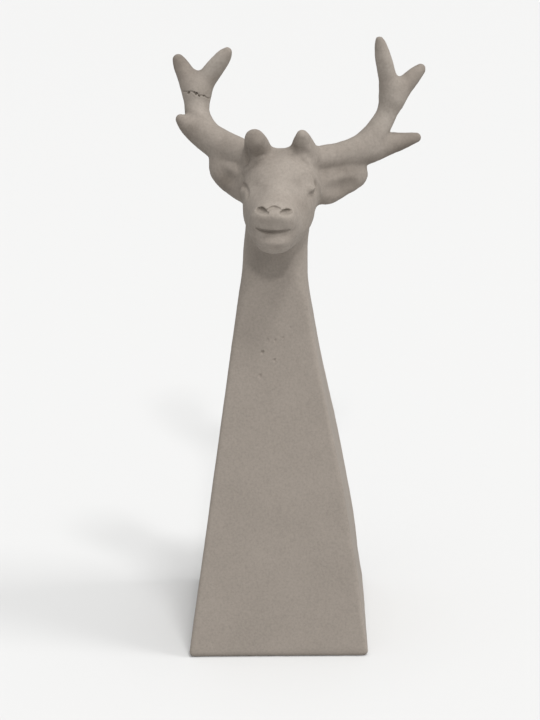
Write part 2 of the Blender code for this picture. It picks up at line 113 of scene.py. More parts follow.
def cone(p, a, b, ra, rb):
    """Bar between two balls: the nearest ball between them is ahead of the square foot point where the bar widens."""
    a = np.asarray(a, float); b = np.asarray(b, float)
    ab = b - a
    long2 = float(ab @ ab)
    q = p - a
    t = (q @ ab) / long2
    grow = max(-0.9, min(0.9, (rb - ra) / math.sqrt(long2)))
    away = np.sqrt(np.maximum((q * q).sum(-1) - t * t * long2, 0.0))
    t = np.clip(t + away * grow / math.sqrt((1.0 - grow * grow) * long2), 0.0, 1.0)
    return np.linalg.norm(q - t[:, None] * ab, axis=-1) - (ra + t * (rb - ra))


def spline(stations, steps):
    """Smooth curve through (x, y, z, r) stations."""
    s = np.asarray(stations, float)
    ext = np.vstack([2 * s[0] - s[1], s, 2 * s[-1] - s[-2]])
    out = []
    for i in range(1, len(ext) - 2):
        p0, p1, p2, p3 = ext[i - 1:i + 3]
        for j in range(steps):
            t = j / steps
            out.append(0.5 * ((2 * p1) + (p2 - p0) * t + (2 * p0 - 5 * p1 + 4 * p2 - p3) * t * t
                              + (3 * p1 - p0 - 3 * p2 + p3) * t ** 3))
    out.append(s[-1])
    return np.array(out)


def tube(p, pts):
    """Distance to a round bar of changing radius; far from its box only a bound is worked out."""
    reach = pts[:, 3].max() + 6.0
    lo, hi = pts[:, :3].min(0) - reach, pts[:, :3].max(0) + reach
    out = np.linalg.norm(np.maximum(np.maximum(lo - p, p - hi), 0.0), axis=-1)
    d = out + 6.0
    near = out <= 0.0
    if near.any():
        q, e = p[near], None
        for a, b in zip(pts[:-1], pts[1:]):
            f = cone(q, a[:3], b[:3], a[3], b[3])
            e = f if e is None else np.minimum(e, f)
        d[near] = e
    return d


def law(v, table):
    """Smooth curve through a short table of (place, value) pairs."""
    t = np.asarray(table, float)
    fine = spline(np.column_stack([t, t * 0.0]), 16)
    return np.interp(v, fine[:, 0], fine[:, 1])


def head_frame(p):
    q = p - np.array([HEAD_X, 0.0, 0.0])
    c, s = math.cos(HEAD_TURN), math.sin(HEAD_TURN)
    return np.stack([q[:, 0] * c - q[:, 1] * s, q[:, 0] * s + q[:, 1] * c, q[:, 2]], -1)


# antlers: stations (x, y, z, radius)
R_BEAM = [(13.9, 1.0, 239.6, 6.5), (24.5, 5.0, 241.8, 6.0), (35.7, 10.0, 242.8, 6.2), (46.0, 16.0, 246.0, 6.5),
          (54.3, 20.0, 256.4, 5.1), (57.8, 21.2, 264.7, 5.1), (58.7, 21.2, 271.4, 5.0)]
R_INNER = [(58.6, 21.2, 270.5, 5.0), (56.1, 19.2, 280.0, 4.4), (54.1, 16.2, 288.5, 3.8), (53.0, 14.9, 293.4, 3.0), (52.4, 14.0, 296.2, 1.9)]
R_OUTER = [(59.8, 21.4, 267.0, 4.9), (65.8, 24.3, 273.8, 4.3), (69.7, 26.0, 277.5, 3.6), (73.0, 27.8, 280.4, 2.4)]
R_SIDE = [(38.1, 12.0, 241.6, 5.8), (46.0, 16.0, 243.4, 6.8), (52.0, 18.5, 244.3, 6.2), (57.9, 20.5, 245.6, 5.2), (63.9, 23.0, 246.2, 4.0),
          (71.0, 26.3, 247.2, 2.4)]
L_BEAM = [(-5.8, 3.0, 241.3, 6.6), (-16.0, 9.0, 245.1, 6.8), (-25.0, 15.0, 247.3, 7.7), (-32.5, 21.0, 251.8, 7.3),
          (-36.1, 25.5, 260.2, 6.1), (-36.3, 28.3, 267.1, 6.1), (-36.4, 30.0, 272.7, 6.0)]
L_INNER = [(-34.8, 29.6, 272.7, 5.4), (-30.0, 29.3, 278.8, 4.8), (-25.4, 27.3, 284.7, 4.3), (-22.6, 26.0, 288.1, 3.6), (-20.7, 25.2, 290.6, 2.3)]
L_OUTER = [(-37.3, 29.8, 271.3, 5.4), (-41.0, 32.2, 277.8, 4.8), (-43.8, 34.0, 283.0, 3.9), (-45.3, 34.8, 286.0, 2.8)]
L_SIDE = [(-32.5, 21.2, 251.0, 6.5), (-37.3, 21.2, 253.8, 5.8), (-41.1, 20.7, 256.6, 4.3), (-44.1, 20.2, 259.1, 2.5)]
TINE_FILLET = (4.2, 4.2, 2.2)    # the two fork tines are webbed together, the side tine meets the beam more sharply
ANTLERS = [(spline(R_BEAM, 4), [spline(t, 3) for t in (R_INNER, R_OUTER, R_SIDE)]),
           (spline(L_BEAM, 4), [spline(t, 3) for t in (L_INNER, L_OUTER, L_SIDE)])]


def antlers(p):
    d = None
    for beam, tines in ANTLERS:
        e = tube(p, beam)
        for t, k in zip(tines, TINE_FILLET):
            e = smin(e, tube(p, t), k)
        d = e if d is None else np.minimum(d, e)
    return d


def edge_radius(z):
    """Crisp edges on the column, rounding off quickly into the neck."""
    return EDGE_R + 0.9 * ramp(z, 120.0, 168.0) + 10.6 * ramp(z, 172.0, 205.0)


def body(p):
    x, y, z = p[:, 0], p[:, 1], p[:, 2]
    run = BASE_W / 2 - TAPER * z
    a = 0.5 * (run + NECK_HALF + np.sqrt((run - NECK_HALF) ** 2 + NECK_SOFT ** 2))
    foot = np.clip(1.0 - z / FOOT_H, 0.0, None)
    a = a - FOOT_IN * np.where(z < 0, 1.0 - 2.0 * z / FOOT_H, foot * foot)
    belly = BELLY * ramp(z, 6.0, 52.0) * (1.0 - ramp(z, 82.0, 146.0))
    a = a + belly * 0.5
    cx = NECK_SHIFT * ramp(z, 168.0, 206.0) + NAPE_SHIFT * ramp(z, 199.0, 214.0) + belly * 0.5
    r = edge_radius(z)
    qx = np.abs(x - cx) - (a - r)
    qy = np.abs(y) - (a - r)
    d = np.hypot(np.maximum(qx, 0), np.maximum(qy, 0)) + np.minimum(np.maximum(qx, qy), 0) - r
    d = d * 0.9875
    return smax(d, z - BODY_TOP, 10.0)


def section(z, along=0):
    """Points of the column at one height: corner arcs of equal steps, with more along the flats if asked."""
    run = BASE_W / 2 - TAPER * z
    a = 0.5 * (run + NECK_HALF + math.sqrt((run - NECK_HALF) ** 2 + NECK_SOFT ** 2))
    r = float(edge_radius(z))
    arcs = []
    for corner, (sx, sy) in enumerate(((1, 1), (-1, 1), (-1, -1), (1, -1))):
        t = np.pi / 2 * (corner + np.arange(CORNER_STEPS + 1) / CORNER_STEPS)
        start = np.broadcast_to([sx * (a - r - 1.0), sy * (a - r - 1.0), z], (len(t), 3))
        ray = np.stack([np.cos(t), np.sin(t), t * 0.0], -1)
        lo, hi = np.zeros(len(t)), np.full(len(t), 30.0)
        for _ in range(40):
            mid = (lo + hi) / 2
            inside = body(start + ray * mid[:, None]) < 0.0
            lo, hi = np.where(inside, mid, lo), np.where(inside, hi, mid)
        arcs.append(start + ray * lo[:, None])
    ring = []
    for arc, after in zip(arcs, arcs[1:] + arcs[:1]):
        ring += [tuple(c) for c in arc]
        ring += [tuple(arc[-1] + (after[0] - arc[-1]) * (k + 1) / (along + 1)) for k in range(along)]
    return ring


# ---- face: side profile and plan, s = distance forward of the neck axis ----
TOP_LINE = [(-10, 244.2), (-2, 246.1), (4, 246.0), (9, 244.2), (14, 240.9), (20, 236.4), (26, 232.4), (31, 230.4), (36, 229.7), (40, 229.0), (46, 227.6)]
UNDER_LINE = [(-10, 215.0), (0, 213.0), (10, 208.9), (20, 204.7), (28, 203.6), (34, 204.2), (40, 205.7), (46, 207.0)]
HALF_PLAN = [(-10, 17.1), (-2, 17.3), (4, 17.3), (9, 17.2), (14, 16.8), (19, 15.4), (25, 13.2), (31, 12.0), (37, 11.5), (46, 11.2)]
FRONT_LINE = [(200, 28.0), (203, 33.0), (205.4, 37.4), (207.2, 39.2), (208.7, 39.7), (209.9, 40.6), (211.2, 41.1), (213.0, 40.6), (214.8, 39.8),
              (216.4, 39.9), (218.0, 40.9), (219.6, 41.5), (221.4, 42.2), (223.4, 42.8), (225.2, 42.6), (227.4, 41.4), (229.4, 38.8), (236, 30.0)]


def face_base(q):
    s, z = -q[:, 1], q[:, 2]
    x = np.abs(q[:, 0] - CHEEK_SHIFT * (1.0 - ramp(s, 6.0, 20.0)))
    zt, zb, w = law(s, TOP_LINE), law(s, UNDER_LINE), law(s, HALF_PLAN)
    zc, h = (zt + zb) / 2, (zt - zb) / 2
    # rounder over the bridge of the nose and at the chin, squarer down the cheeks
    n = np.where(z > zc, 2.4 - 0.45 * ramp(s, 8.0, 19.0) * (1.0 - ramp(s, 24.0, 33.0)), 2.2 + 0.6 * ramp(s, 6.0, 14.0) - 0.8 * ramp(s, 17.0, 32.0))
    m = ((x / w) ** n + (np.abs(z - zc) / h) ** n) ** (1 / n) - 1.0
    d = m * np.minimum(w, h) * 0.92
    f = (s - (law(z, FRONT_LINE) - x * x / 38.0)) * 0.85
    d = smax(d, f, 4.5)
    return smax(d, -(s + 8.0), 3.0)


def skull(q):
    d = ellipsoid(q, (CHEEK_SHIFT, 0.8, 230.0), (17.7, 19.0, 16.2))
    return smin(d, face_base(q), 5.0)


def on_face(x, z):
    """How far forward the face surface lies at a place seen from the front."""
    x, z = np.broadcast_arrays(np.asarray(x, float), np.asarray(z, float))
    lo, hi = np.zeros(x.shape), np.full(x.shape, 60.0)
    for _ in range(26):
        mid = (lo + hi) / 2
        inside = skull(np.stack([x, -mid, z], -1)) < 0
        lo, hi = np.where(inside, mid, lo), np.where(inside, hi, mid)
    return (lo + hi) / 2


def normals(field, p, e=0.2):
    g = sum(k * field(p + e * k)[:, None] for k in np.array([[1, -1, -1], [-1, -1, 1], [-1, 1, -1], [1, 1, 1.0]]))
    return g / np.maximum(np.linalg.norm(g, axis=1), 1e-9)[:, None]


def stroke(pts, depth=0.0):
    """Run of (x, z, r) points laid on the face, its centre depth below the surface."""
    t = np.asarray(pts, float)
    fine = spline(np.column_stack([t[:, 0], t[:, 0] * 0, t[:, 1], t[:, 2]]), 4)
    fine[:, 1] = -on_face(fine[:, 0], fine[:, 2])
    fine[:, :3] -= depth * normals(skull, fine[:, :3])
    return fine


# cut lines of the face: mouth, nostrils, the arc over the nose pad, the fold round each eye
MOUTH = stroke([(-7.0, 217.8, 0.60), (-5.6, 217.3, 0.85), (-3.4, 216.8, 0.90), (-0.8, 216.6, 0.80), (3.0, 216.6, 0.66), (6.2, 216.8, 0.54), (7.8, 217.1, 0.36)])
NOSTRIL_L = stroke([(-6.6, 226.8, 1.15), (-4.9, 226.8, 1.5), (-3.4, 226.5, 1.15), (-1.9, 226.0, 0.65)])
NOSTRIL_R = stroke([(8.8, 225.7, 0.85), (7.5, 225.9, 1.25), (6.1, 226.0, 1.25), (4.8, 225.8, 0.75)])
PAD_TOP = stroke([(-1.4, 227.2, 0.6), (-0.2, 227.9, 0.8), (1.4, 228.0, 0.9), (3.5, 227.6, 0.6)])
EYE_FOLD_L = stroke([(-17.8, 232.1, 0.5), (-15.8, 231.9, 0.8), (-14.5, 230.3, 0.9), (-14.0, 228.1, 0.5)])
EYE_FOLD_R = stroke([(17.4, 233.2, 0.5), (17.7, 230.9, 0.9), (17.0, 229.1, 0.8), (15.0, 228.7, 0.5)])
# each cut with how many times deeper than its half width it goes, and how soft its edges are
CUTS = [(MOUTH, 1.6, 0.8), (NOSTRIL_L, 2.2, 0.7), (NOSTRIL_R, 2.8, 0.7), (PAD_TOP, 1.9, 0.6), (EYE_FOLD_L, 0.8, 1.4), (EYE_FOLD_R, 0.8, 1.4)]
# lumps of the closed eyes: x, z, radii, how far forward
EYES = [(x, z, r, on_face([x], [z])[0]) for x, z, r in ((-16.9, 229.2, (1.6, 2.0, 1.8)), (15.7, 231.2, (1.9, 2.0, 1.7)))]
# soft swells (+) and hollows (-) of the face: x, z, spread, height
SWELLS = [(-9.2, 232.4, 3.1, -1.05), (9.8, 232.8, 3.1, -1.05), (0.4, 234.0, 2.2, 0.30), (-11.0, 238.2, 3.0, 0.35), (11.0, 238.8, 3.0, 0.35),
          (-3.9, 222.0, 2.2, 0.30), (7.0, 221.6, 2.2, 0.25), (1.2, 211.2, 3.0, 0.45),
          (-7.6, 211.0, 2.4, -0.75), (9.2, 211.4, 2.4, -0.65)]


def head(p):
    q = head_frame(p)
    d = skull(q)
    front = (q[:, 1] < -4.0) & (q[:, 1] > -52.0) & (q[:, 2] > 200.0) & (q[:, 2] < 246.0)
    if front.any():
        g, e = q[front], d[front]
        for x, z, wide, high in SWELLS:
            e = e - high * np.exp(-((g[:, 0] - x) ** 2 + (g[:, 2] - z) ** 2) / (2.0 * wide * wide))
        for x, z, r, s in EYES:
            e = smin(e, ellipsoid(g, (x, 0.6 * r[1] - s, z), r), 2.4)
        for run, steep, k in CUTS:
            squeeze = np.array([1.0, 1.0 / steep, 1.0, 1.0])
            e = smax(e, -tube(g * squeeze[:3], run * squeeze), k)
        d = d.copy(); d[front] = e
    return d


# stubs of the brow tines: blunt cones standing on the crown
BROW = [spline([(-6.0, 0.0, 243.7, 7.5), (-6.3, -4.8, 249.7, 6.0), (-7.1, -9.4, 253.9, 4.9)], 3),
        spline([(15.8, -1.0, 244.6, 7.2), (15.5, -4.0, 249.5, 5.4), (15.3, -6.5, 253.0, 3.9), (15.1, -8.0, 255.2, 2.8)], 3)]


# low rims along the edge of the face, and the creases where stub and antler rise from the crown
RIMS = [spline([(15.6, -8.5, 244.9, 0.7), (17.6, -8.2, 242.1, 1.1), (19.3, -9.5, 238.6, 1.2), (21.0, -9.5, 235.1, 1.2), (22.6, -7.3, 230.6, 1.1),
                (23.6, -4.0, 226.0, 0.7)], 2),
        spline([(-3.5, -8.6, 245.3, 0.6), (-6.7, -8.4, 244.0, 1.0), (-10.0, -6.5, 240.7, 1.1), (-12.7, -4.5, 237.3, 0.7)], 2)]
CREASES = [spline([(10.6, -7.6, 248.9, 0.5), (12.2, -9.9, 248.5, 0.7), (14.6, -11.0, 248.1, 0.8), (17.6, -10.4, 247.2, 0.6)], 2),
           spline([(-11.3, -9.3, 249.6, 0.6), (-11.4, -7.2, 245.9, 1.2), (-11.2, -6.2, 242.6, 1.0)], 3)]


def leaf(p, run, thin, yaw):
    """A bar of changing radius, flattened to thin times its width, its flat side turned by yaw."""
    m = rot(yaw, 0, 0)
    k = np.array([1.0, 1.0 / thin, 1.0])
    q, t = (p @ m) * k, (run[:, :3] @ m) * k
    d = None
    for a, b, ra, rb in zip(t[:-1], t[1:], run[:-1, 3], run[1:, 3]):
        f = cone(q, a, b, ra, rb)
        d = f if d is None else np.minimum(d, f)
    return d * thin


EARS = [spline([(26.9, 3.6, 228.2, 8.1), (35.6, 8.0, 231.0, 7.0), (40.3, 11.0, 232.0, 5.9)], 2),
        spline([(-14.7, 2.0, 230.8, 7.8), (-20.4, 6.0, 232.9, 6.8), (-24.9, 9.0, 235.5, 5.3), (-26.3, 10.0, 238.7, 4.0)], 2)]
EAR_YAW = (24.0, -38.0)
CUPS = [spline([(28.5, -4.2, 228.2, 3.0), (34.2, -1.2, 228.0, 4.0), (40.0, 3.0, 228.8, 2.8)], 3),
        spline([(-19.4, -2.6, 233.2, 2.8), (-22.6, 0.0, 234.4, 3.6), (-25.6, 2.6, 237.2, 2.8)], 3)]


def ears(p):
    out = []
    for run, yaw, cup in zip(EARS, EAR_YAW, CUPS):
        out.append(smax(leaf(p, run, 0.62, yaw), -tube(p, cup), 3.0))
    return out


def shape(p):
    p = np.asarray(p, float)
    d = body(p)
    up = p[:, 2] > 165.0
    if up.any():
        u = p[up]
        er, el = ears(u)
        a = antlers(u)
        e = np.minimum(er, el)
        h = smin(d[up], head(u), 6.5)
        h = smin(h, e, 3.6)
        h = smin(h, smin(a, e, 3.4), 1.8)
        h = smin(h, np.minimum(tube(u, BROW[0]), tube(u, BROW[1])), 3.8)
        for run in CREASES:
            h = smax(h, -tube(u, run), 2.4)
        for run in RIMS:
            h = smin(h, tube(u, run), 1.4)
        d = d.copy()
        d[up] = h
    return d


# ---- roughing out ----
def lofted_column(bm, heights, along=0):
    """Level rings from the flat underside up, to be joined to the open lower rim of the neck."""
    rows = [[bm.verts.new(co) for co in section(z, along)] for z in heights]
    n = len(rows[0])
    for lower, upper in zip(rows[:-1], rows[1:]):
        for i in range(n):
            bm.faces.new((lower[i], lower[(i + 1) % n], upper[(i + 1) % n], upper[i]))
    bm.faces.new(list(reversed(rows[0])))
    bmesh.ops.bridge_loops(bm, edges=[e for e in bm.edges if e.is_boundary])


def head_point(x, y, z):
    c, s = math.cos(HEAD_TURN), math.sin(HEAD_TURN)
    return Vector((HEAD_X + x * c + y * s, -x * s + y * c, z))


def ring_loft(bm, rings):
    """Skin a list of equal rings and close both ends."""
    rows = [[bm.verts.new(co) for co in ring] for ring in rings]
    n = len(rows[0])
    for lower, upper in zip(rows[:-1], rows[1:]):
        for i in range(n):
            bm.faces.new((lower[i], lower[(i + 1) % n], upper[(i + 1) % n], upper[i]))
    bm.faces.new(list(reversed(rows[0])))
    bm.faces.new(rows[-1])


def column(bm, low, high, steps=40, sides=32):
    rings = []
    for j in range(steps + 1):
        z = low + (high - low) * j / steps
        a = max(BASE_W / 2 - TAPER * z, NECK_HALF) - 0.6
        shift = NECK_SHIFT * float(ramp(np.array(z), 168.0, 206.0))
        ring = []
        for i in range(sides):
            t = 2 * math.pi * i / sides
            c, s = math.cos(t), math.sin(t)
            k = (abs(c) ** 8 + abs(s) ** 8) ** (-1 / 8)
            ring.append((shift + a * k * c, a * k * s, z))
        rings.append(ring)
    ring_loft(bm, rings)


def bar(bm, stations, fat=1.0, sides=12):
    """Round bar through (x, y, z, r) stations, with rounded ends."""
    pts = [Vector(s[:3]) for s in stations]
    rad = [float(s[3]) * fat for s in stations]
    rings = []
    for i, (p, r) in enumerate(zip(pts, rad)):
        t = (pts[min(i + 1, len(pts) - 1)] - pts[max(i - 1, 0)]).normalized()
        m = t.to_track_quat('Z', 'Y').to_matrix()
        caps = [(0.0, 1.0)]
        if i == 0:
            caps = [(-0.9, 0.45), (-0.5, 0.86), (0.0, 1.0)]
        elif i == len(pts) - 1:
            caps = [(0.0, 1.0), (0.5, 0.86), (0.9, 0.45)]
        for along, wide in caps:
            rings.append([p + m @ Vector((r * wide * math.cos(2 * math.pi * k / sides),
                                          r * wide * math.sin(2 * math.pi * k / sides), r * along))
                          for k in range(sides)])
    ring_loft(bm, rings)


def ball(bm, centre, radii):
    made = bmesh.ops.create_uvsphere(bm, u_segments=24, v_segments=16, radius=1.0)
    turn = Matrix.Rotation(-HEAD_TURN, 4, 'Z')
    m = Matrix.Translation(head_point(*centre)) @ turn @ Matrix.Diagonal((*radii, 1.0))
    bmesh.ops.transform(bm, matrix=m, verts=made["verts"])


def rough_figure():
    bm = bmesh.new()
    column(bm, -8.0, 216.0)
    ball(bm, (0, 0.8, 229.5), (18.6, 18.6, 17.2))
    ball(bm, (0, -14.0, 224.5), (16.0, 18.0, 15.5))
    ball(bm, (0, -29.0, 218.0), (10.6, 11.5, 10.2))
    for beam, tines in ANTLERS:
        bar(bm, beam)
        for t in tines:
            bar(bm, t)
    for run in BROW:
        bar(bm, run)
    for run in EARS:
        bar(bm, run, fat=0.8)
    bmesh.ops.recalc_face_normals(bm, faces=bm.faces)
    return bm


# ---- fine skin ----
def to_object(bm, name):
    mesh = bpy.data.meshes.new(name)
    bm.to_mesh(mesh)
    bm.free()
    ob = bpy.data.objects.new(name, mesh)
    bpy.context.scene.collection.objects.link(ob)
    return ob


def remeshed(bm, voxel):
    ob = to_object(bm, "rough")
    mod = ob.modifiers.new("skin", 'REMESH')
    mod.mode, mod.voxel_size = 'VOXEL', voxel
    out = bpy.data.meshes.new_from_object(ob.evaluated_get(bpy.context.evaluated_depsgraph_get()))
    bpy.data.objects.remove(ob, do_unlink=True)
    return out


def coords(mesh):
    v = np.empty(len(mesh.vertices) * 3)
    mesh.vertices.foreach_get("co", v)
    return v.reshape(-1, 3)


def put(mesh, v):
    mesh.vertices.foreach_set("co", np.ascontiguousarray(v).ravel())
    mesh.update()


def edge_pairs(mesh):
    e = np.empty(len(mesh.edges) * 2, dtype=np.int64)
    mesh.edges.foreach_get("vertices", e)
    return e.reshape(-1, 2)


def draw_onto(mesh, field, rounds, even, reach=1.2, part=None):
    """Slide the skin, or a part of it, onto a surface; the first rounds also even out its points."""
    v, e = coords(mesh), edge_pairs(mesh)
    n = len(v)
    count = np.maximum(np.bincount(e.ravel(), minlength=n), 1).astype(float)
    own = np.ones(n, bool) if part is None else part(v)
    for i in range(rounds):
        p = v[own]
        d, nn = field(p), normals(field, p, 0.12)
        p = p - np.clip(d, -reach, reach)[:, None] * nn
        v[own] = p
        if i < even:
            total = np.stack([np.bincount(e[:, 0], v[e[:, 1], k], n) + np.bincount(e[:, 1], v[e[:, 0], k], n)
                              for k in range(3)], -1)
            move = (total / count[:, None])[own] - p
            move -= (move * nn).sum(1)[:, None] * nn
            v[own] = p + 0.5 * move
    put(mesh, v)


def split_where(mesh, pick):
    """Halve the edges of every face whose middle is picked."""
    bm = bmesh.new()
    bm.from_mesh(mesh)
    bm.faces.ensure_lookup_table()
    mid = np.array([f.calc_center_median() for f in bm.faces])
    keep = pick(mid)
    edges = {e for f, k in zip(bm.faces, keep) if k for e in f.edges}
    bmesh.ops.subdivide_edges(bm, edges=list(edges), cuts=1, use_grid_fill=True)
    bm.to_mesh(mesh)
    bm.free()
    mesh.update()


def hash3(i, j, k, seed):
    h = (i * 374761393 + j * 668265263 + k * 2147483647 + seed * 974634777) & 0xFFFFFFFF
    h = ((h ^ (h >> 13)) * 1274126177) & 0xFFFFFFFF
    return ((h ^ (h >> 16)) & 0xFFFF) / 32767.5 - 1.0


def noise(p, size, seed=0):
    """Smooth value noise in -1..1 with features about size mm across."""
    q = p / size + 1000.0
    c = np.floor(q).astype(np.int64)
    f = q - c
    f = f * f * (3 - 2 * f)
    out = 0.0
    for dx in (0, 1):
        for dy in (0, 1):
            for dz in (0, 1):
                w = (f[:, 0] if dx else 1 - f[:, 0]) * (f[:, 1] if dy else 1 - f[:, 1]) * (f[:, 2] if dz else 1 - f[:, 2])
                out = out + w * hash3(c[:, 0] + dx, c[:, 1] + dy, c[:, 2] + dz, seed)
    return out


def roughness_of_casting(v):
    """Hand-smoothed waves and sand grain, in mm along the normal; the hand-modelled upper part is lumpier."""
    hand = ramp(v[:, 2], 200.0, 226.0)
    low = 0.10 * noise(v, 17.0, 1) + (0.06 + 0.05 * hand) * noise(v, 7.0, 2)
    grain = (0.045 + 0.055 * hand) * noise(v, 3.1, 3) + (0.04 + 0.02 * hand) * noise(v, 1.6, 4)
    return low + grain


# the mended break across one antler: a ragged seam with grains lost along it; stations x, y, z, half width in mm
SEAM = [(-43.0, 26.6, 271.9, 0.35), (-42.2, 25.3, 271.9, 0.40), (-41.2, 24.3, 271.8, 0.35), (-40.2, 23.5, 271.65, 0.62), (-38.75, 22.9, 272.2, 0.34),
        (-37.75, 22.6, 271.8, 0.42), (-36.3, 22.35, 271.3, 0.62), (-35.3, 22.4, 270.95, 0.40), (-34.9, 22.4, 270.0, 0.50), (-33.7, 22.8, 270.3, 0.34),
        (-32.5, 23.3, 269.9, 0.42), (-31.6, 24.0, 269.15, 0.34), (-30.5, 25.5, 268.2, 0.34), (-30.1, 27.2, 268.6, 0.28)]
SEAM_PITS = [(-40.2, 23.5, 271.6, 0.85, 1.1), (-37.4, 22.5, 271.8, 0.6, 0.8), (-36.2, 22.35, 271.2, 0.9, 1.2), (-34.8, 22.4, 269.9, 0.65, 0.9),
             (-32.4, 23.4, 269.8, 0.6, 0.7)]


def seam_depth(v):
    """How far the skin sinks along the seam, in mm."""
    out = np.zeros(len(v))
    near = (v[:, 0] < -27.0) & (v[:, 2] > 262.0) & (v[:, 2] < 278.0)
    if near.any():
        q = v[near]
        q = q + 0.22 * np.stack([noise(q, 1.1, 11), noise(q, 1.1, 12), noise(q, 1.1, 13)], -1)
        dip = np.zeros(len(q))
        for a, b in zip(SEAM[:-1], SEAM[1:]):
            a, b = np.array(a), np.array(b)
            ab = (b - a)[:3]
            t = np.clip((q - a[:3]) @ ab / (ab @ ab), 0.0, 1.0)
            away = np.linalg.norm(q - a[:3] - t[:, None] * ab, axis=1)
            w = a[3] + t * (b[3] - a[3])
            dip = np.maximum(dip, 0.36 * np.clip(1.0 - (away / (w * 1.3)) ** 2, 0.0, 1.0) ** 0.6)
        for x, y, z, r, deep in SEAM_PITS:
            away = np.linalg.norm(q - np.array([x, y, z]), axis=1)
            dip = np.maximum(dip, deep * np.clip(1.0 - (away / r) ** 2, 0.0, 1.0) ** 0.7)
        out[near] = dip
    return out


# pinholes: (x, z, radius, depth) on the front of the column
PINHOLES = [(-5.4, 152.5, 0.75, 0.75), (0.3, 148.6, 0.6, 0.5), (-6.8, 140.9, 0.9, 0.45), (-3.1, 158.3, 0.9, 0.3),
            (0.7, 158.2, 0.6, 0.35), (4.6, 159.2, 0.55, 0.35)]


def pinhole_spots():
    """Where each pinhole opens, on the surface."""
    spots = []
    for x, z, r, deep in PINHOLES:
        p = np.array([[x, -40.0, z]])
        for _ in range(30):
            p[:, 1] += body(p) * 0.9
        spots.append((p[0], r, deep))
    rng = np.random.default_rng(7)
    for side in range(4):                       # a few more, shallower, all round
        for _ in range(9 if side else 5):
            z = rng.uniform(12.0, 165.0)
            u = rng.uniform(-0.75, 0.75) * (BASE_W / 2 - TAPER * z)
            d = np.array([(0, -1), (1, 0), (0, 1), (-1, 0)][side], float)
            p = np.array([[d[0] * 60 + (u if d[0] == 0 else 0), d[1] * 60 + (u if d[1] == 0 else 0), z]])
            for _ in range(40):
                p[:, :2] -= d * body(p) * 0.9
            spots.append((p[0], rng.uniform(0.3, 0.5), rng.uniform(0.15, 0.3)))
    return spots


def near_cuts(m):
    """True near the mouth, the nostrils and the line over the nose pad."""
    q = head_frame(m)
    out = np.zeros(len(m), bool)
    for run, steep, k in CUTS[:4]:
        for c in run:
            out |= ((q - c[:3]) ** 2).sum(1) < (c[3] * steep + 1.0) ** 2
    return out


# soft patches of painted shade, darker (+), and painted light, paler (-), set by comparing tones at these places; they
# partly stand in for light and shade the lamps do not give, and any other cause is not known:
# x, y, z, radius in mm, strength
SHADE_AND_LIGHT_PATCHES = [(-7.2, -13.0, 257.0, 3.5, 0.20), (-8.5, -13.0, 252.5, 4.0, 0.12), (-10.5, -7.0, 246.0, 5.0, 0.18), (-43.5, 29.5, 284.0, 5.5, 0.26),
           (-40.0, 15.8, 254.0, 5.5, 0.22), (60.5, 16.6, 242.5, 5.5, 0.24), (67.5, 21.0, 245.5, 5.0, 0.20), (36.0, 3.5, 228.0, 6.0, 0.20),
           (-22.5, 2.5, 232.5, 5.0, 0.37), (67.0, 20.0, 275.5, 5.0, 0.14), (35.0, 4.5, 246.5, 9.0, 0.09), (-22.0, 5.7, 249.5, 7.0, 0.13),
           (16.5, -22.5, 225.0, 5.0, 0.14), (-27.0, 23.4, 284.5, 5.5, -0.32), (-36.0, 20.8, 265.0, 5.5, -0.13), (56.5, 15.8, 262.0, 7.5, -0.20),
           (54.0, 12.8, 286.5, 5.5, -0.20), (-20.0, 3.5, 240.0, 4.0, -0.18), (2.0, -26.0, 237.0, 9.0, -0.05), (4.6, -42.0, 221.5, 4.0, -0.08)]


def wear_and_painted_shade(v, nn):
    """Factor on the tone of the cement: painted shade in recesses and on undersides, painted shade and painted light in
    soft patches, the +X face of the column painted paler as painted light, and darker at the tips of the tines and
    along the seam.
    """
    up = v[:, 2] > 198.0
    p, n = v[up], nn[up]
    # painted shade: darker where nearby cement closes the surface in, in recesses and creases
    recess_shade = np.zeros(len(p))
    for step, weight in ((1.5, 0.35), (3.5, 0.35), (8.0, 0.30)):
        recess_shade += weight * np.clip(1.0 - shape(p + n * step) / step, 0.0, 1.0)
    # painted shade: recesses darker, and faces turned downward darker on the head and antlers
    tone = 1.0 - 0.25 * recess_shade - 0.16 * ramp(-n[:, 2], 0.0, 0.9) * ramp(p[:, 2], 222.0, 240.0)
    for beam, tines in ANTLERS:
        for t in tines:
            end = t[-1, :3]
            tone -= 0.18 * np.exp(-((p - end) ** 2).sum(1) / (2.0 * 3.6 ** 2))
    # painted shade and painted light in soft patches
    for x, y, z, r, k in SHADE_AND_LIGHT_PATCHES:
        tone -= k * np.exp(-((p - np.array([x, y, z])) ** 2).sum(1) / (2.0 * r * r))
    tone -= 0.45 * np.clip((seam_depth(p) - 0.15) / 0.6, 0.0, 1.0)
    tone += 0.045 * noise(p, 4.2, 21) + 0.045 * noise(p, 2.0, 22)
    out = np.ones(len(v))
    out[up] = tone
    blend = ramp(v[:, 2], 198.0, 208.0)
    painted_side_light = 0.07 * ramp(nn[:, 0], 0.75, 0.95) * (1.0 - blend)      # painted light: the +X face of the column is made a shade paler, as if lit more from that side, to match its tone
    return np.clip(1.0 - 0.03 * (1.0 - blend) + (out - 1.0) * blend + painted_side_light, 0.55, 1.25)


